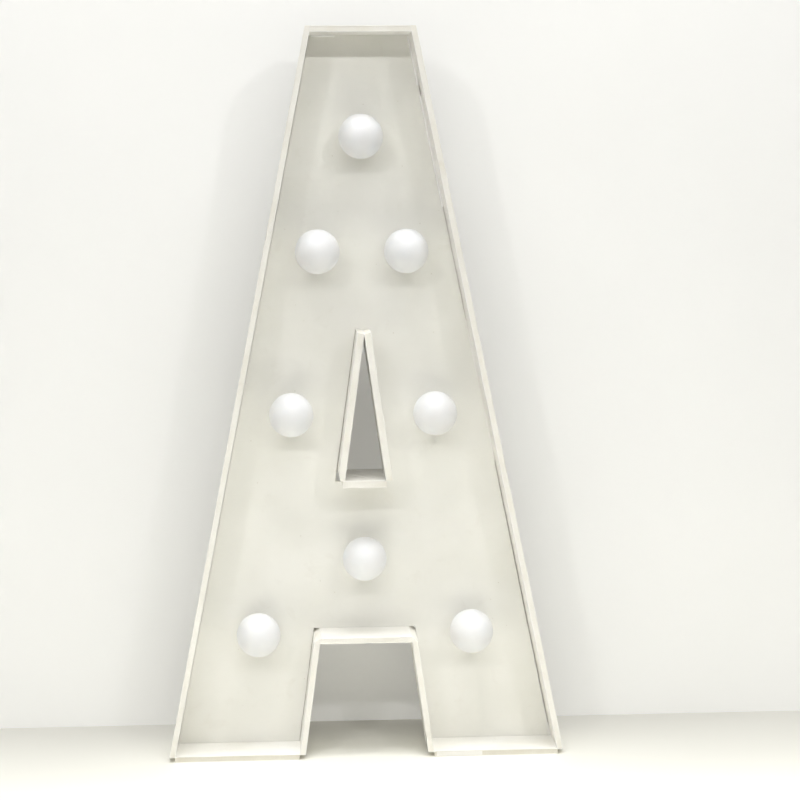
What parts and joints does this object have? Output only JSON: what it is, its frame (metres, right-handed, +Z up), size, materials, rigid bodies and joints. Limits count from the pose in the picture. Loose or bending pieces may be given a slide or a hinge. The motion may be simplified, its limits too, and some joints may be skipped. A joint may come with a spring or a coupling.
{
  "type": "light-up letter",
  "caption": "Free-standing marquee letter A: a deep white foam-board tray with opal globe bulbs screwed into sockets in its face and an open back.",
  "frame": {"origin": "On the floor under the middle of the letter's box", "axes": "+Z up, -Y towards the viewer in front of the bulbs, +X to that viewer's right"},
  "size_m": [0.6658, 0.132, 1.219],
  "materials": {
    "board_white": "satin white foam board",
    "panel_white": "satin white foam board",
    "globe_opal": "opal diffuser, glossy",
    "neck_white": "white moulded housing",
    "holder_white": "white moulding",
    "flex_white": "white PVC sheath",
    "plated_steel": "nickel plated sheet",
    "contact_brass": "bare brass strip",
    "black_plastic": "black moulding"
  },
  "bodies": {
    "letter": {"face_panel": "panel_white", "left_wall_upper": "board_white", "left_wall_lower": "board_white", "right_wall_upper": "board_white", "right_wall_lower": "board_white", "top_board": "board_white", "left_foot_board": "board_white", "right_foot_board": "board_white", "left_leg_wall": "board_white", "right_leg_wall": "board_white", "crossbar_board": "board_white", "counter_left_wall": "board_white", "counter_right_wall": "board_white", "counter_sill": "board_white", "panel_battens": "board_white", "wall_splices": "board_white", "lampholder_bodies": "holder_white", "socket_shells": "plated_steel", "socket_contacts": "contact_brass", "wiring_flex": "flex_white", "cable_clips": "holder_white", "junction_box": "holder_white", "junction_box_lid": "holder_white", "terminal_strip": "black_plastic", "cable_gland": "black_plastic", "switch_body": "black_plastic"},
    "rocker": {"switch_rocker": "black_plastic"},
    "bulb_1_stage": {"bulb_1_tip": "black_plastic"},
    "bulb_1": {"bulb_1_globe": "globe_opal", "bulb_1_neck": "neck_white", "bulb_1_cap": "plated_steel"},
    "bulb_2_stage": {"bulb_2_tip": "black_plastic"},
    "bulb_2": {"bulb_2_globe": "globe_opal", "bulb_2_neck": "neck_white", "bulb_2_cap": "plated_steel"},
    "bulb_3_stage": {"bulb_3_tip": "black_plastic"},
    "bulb_3": {"bulb_3_globe": "globe_opal", "bulb_3_neck": "neck_white", "bulb_3_cap": "plated_steel"},
    "bulb_4_stage": {"bulb_4_tip": "black_plastic"},
    "bulb_4": {"bulb_4_globe": "globe_opal", "bulb_4_neck": "neck_white", "bulb_4_cap": "plated_steel"},
    "bulb_5_stage": {"bulb_5_tip": "black_plastic"},
    "bulb_5": {"bulb_5_globe": "globe_opal", "bulb_5_neck": "neck_white", "bulb_5_cap": "plated_steel"},
    "bulb_6_stage": {"bulb_6_tip": "black_plastic"},
    "bulb_6": {"bulb_6_globe": "globe_opal", "bulb_6_neck": "neck_white", "bulb_6_cap": "plated_steel"},
    "bulb_7_stage": {"bulb_7_tip": "black_plastic"},
    "bulb_7": {"bulb_7_globe": "globe_opal", "bulb_7_neck": "neck_white", "bulb_7_cap": "plated_steel"},
    "bulb_8_stage": {"bulb_8_tip": "black_plastic"},
    "bulb_8": {"bulb_8_globe": "globe_opal", "bulb_8_neck": "neck_white", "bulb_8_cap": "plated_steel"}
  },
  "joints": [
    {"name": "rocker_tilt", "type": "hinge", "parent": "letter", "child": "rocker", "pos_m": [0.2043, 0.05, 0.106], "axis": [1, 0, 0], "range_deg": [0, 20]},
    {"name": "bulb_1_travel", "type": "slide", "parent": "letter", "child": "bulb_1_stage", "axis": [0, -1, 0], "range_m": [0, 0.0182]},
    {"name": "bulb_1_turn", "type": "hinge", "parent": "bulb_1_stage", "child": "bulb_1", "pos_m": [0, 0, 1.042], "axis": [0, -1, 0], "range_deg": [0, 1800]},
    {"name": "bulb_2_travel", "type": "slide", "parent": "letter", "child": "bulb_2_stage", "axis": [0, -1, 0], "range_m": [0, 0.0182]},
    {"name": "bulb_2_turn", "type": "hinge", "parent": "bulb_2_stage", "child": "bulb_2", "pos_m": [-0.07378, 0, 0.853], "axis": [0, -1, 0], "range_deg": [0, 1800]},
    {"name": "bulb_3_travel", "type": "slide", "parent": "letter", "child": "bulb_3_stage", "axis": [0, -1, 0], "range_m": [0, 0.0182]},
    {"name": "bulb_3_turn", "type": "hinge", "parent": "bulb_3_stage", "child": "bulb_3", "pos_m": [0.07378, 0, 0.853], "axis": [0, -1, 0], "range_deg": [0, 1800]},
    {"name": "bulb_4_travel", "type": "slide", "parent": "letter", "child": "bulb_4_stage", "axis": [0, -1, 0], "range_m": [0, 0.0182]},
    {"name": "bulb_4_turn", "type": "hinge", "parent": "bulb_4_stage", "child": "bulb_4", "pos_m": [-0.12051, 0, 0.581], "axis": [0, -1, 0], "range_deg": [0, 1800]},
    {"name": "bulb_5_travel", "type": "slide", "parent": "letter", "child": "bulb_5_stage", "axis": [0, -1, 0], "range_m": [0, 0.0182]},
    {"name": "bulb_5_turn", "type": "hinge", "parent": "bulb_5_stage", "child": "bulb_5", "pos_m": [0.12051, 0, 0.581], "axis": [0, -1, 0], "range_deg": [0, 1800]},
    {"name": "bulb_6_travel", "type": "slide", "parent": "letter", "child": "bulb_6_stage", "axis": [0, -1, 0], "range_m": [0, 0.0182]},
    {"name": "bulb_6_turn", "type": "hinge", "parent": "bulb_6_stage", "child": "bulb_6", "pos_m": [0, 0, 0.335], "axis": [0, -1, 0], "range_deg": [0, 1800]},
    {"name": "bulb_7_travel", "type": "slide", "parent": "letter", "child": "bulb_7_stage", "axis": [0, -1, 0], "range_m": [0, 0.0182]},
    {"name": "bulb_7_turn", "type": "hinge", "parent": "bulb_7_stage", "child": "bulb_7", "pos_m": [-0.18062, 0, 0.207], "axis": [0, -1, 0], "range_deg": [0, 1800]},
    {"name": "bulb_8_travel", "type": "slide", "parent": "letter", "child": "bulb_8_stage", "axis": [0, -1, 0], "range_m": [0, 0.0182]},
    {"name": "bulb_8_turn", "type": "hinge", "parent": "bulb_8_stage", "child": "bulb_8", "pos_m": [0.18062, 0, 0.207], "axis": [0, -1, 0], "range_deg": [0, 1800]}
  ],
  "couplings": [
    {"joint": "bulb_1_travel", "follows": "bulb_1_turn", "m_per_rad": 0.00057773},
    {"joint": "bulb_2_travel", "follows": "bulb_2_turn", "m_per_rad": 0.00057773},
    {"joint": "bulb_3_travel", "follows": "bulb_3_turn", "m_per_rad": 0.00057773},
    {"joint": "bulb_4_travel", "follows": "bulb_4_turn", "m_per_rad": 0.00057773},
    {"joint": "bulb_5_travel", "follows": "bulb_5_turn", "m_per_rad": 0.00057773},
    {"joint": "bulb_6_travel", "follows": "bulb_6_turn", "m_per_rad": 0.00057773},
    {"joint": "bulb_7_travel", "follows": "bulb_7_turn", "m_per_rad": 0.00057773},
    {"joint": "bulb_8_travel", "follows": "bulb_8_turn", "m_per_rad": 0.00057773}
  ]
}
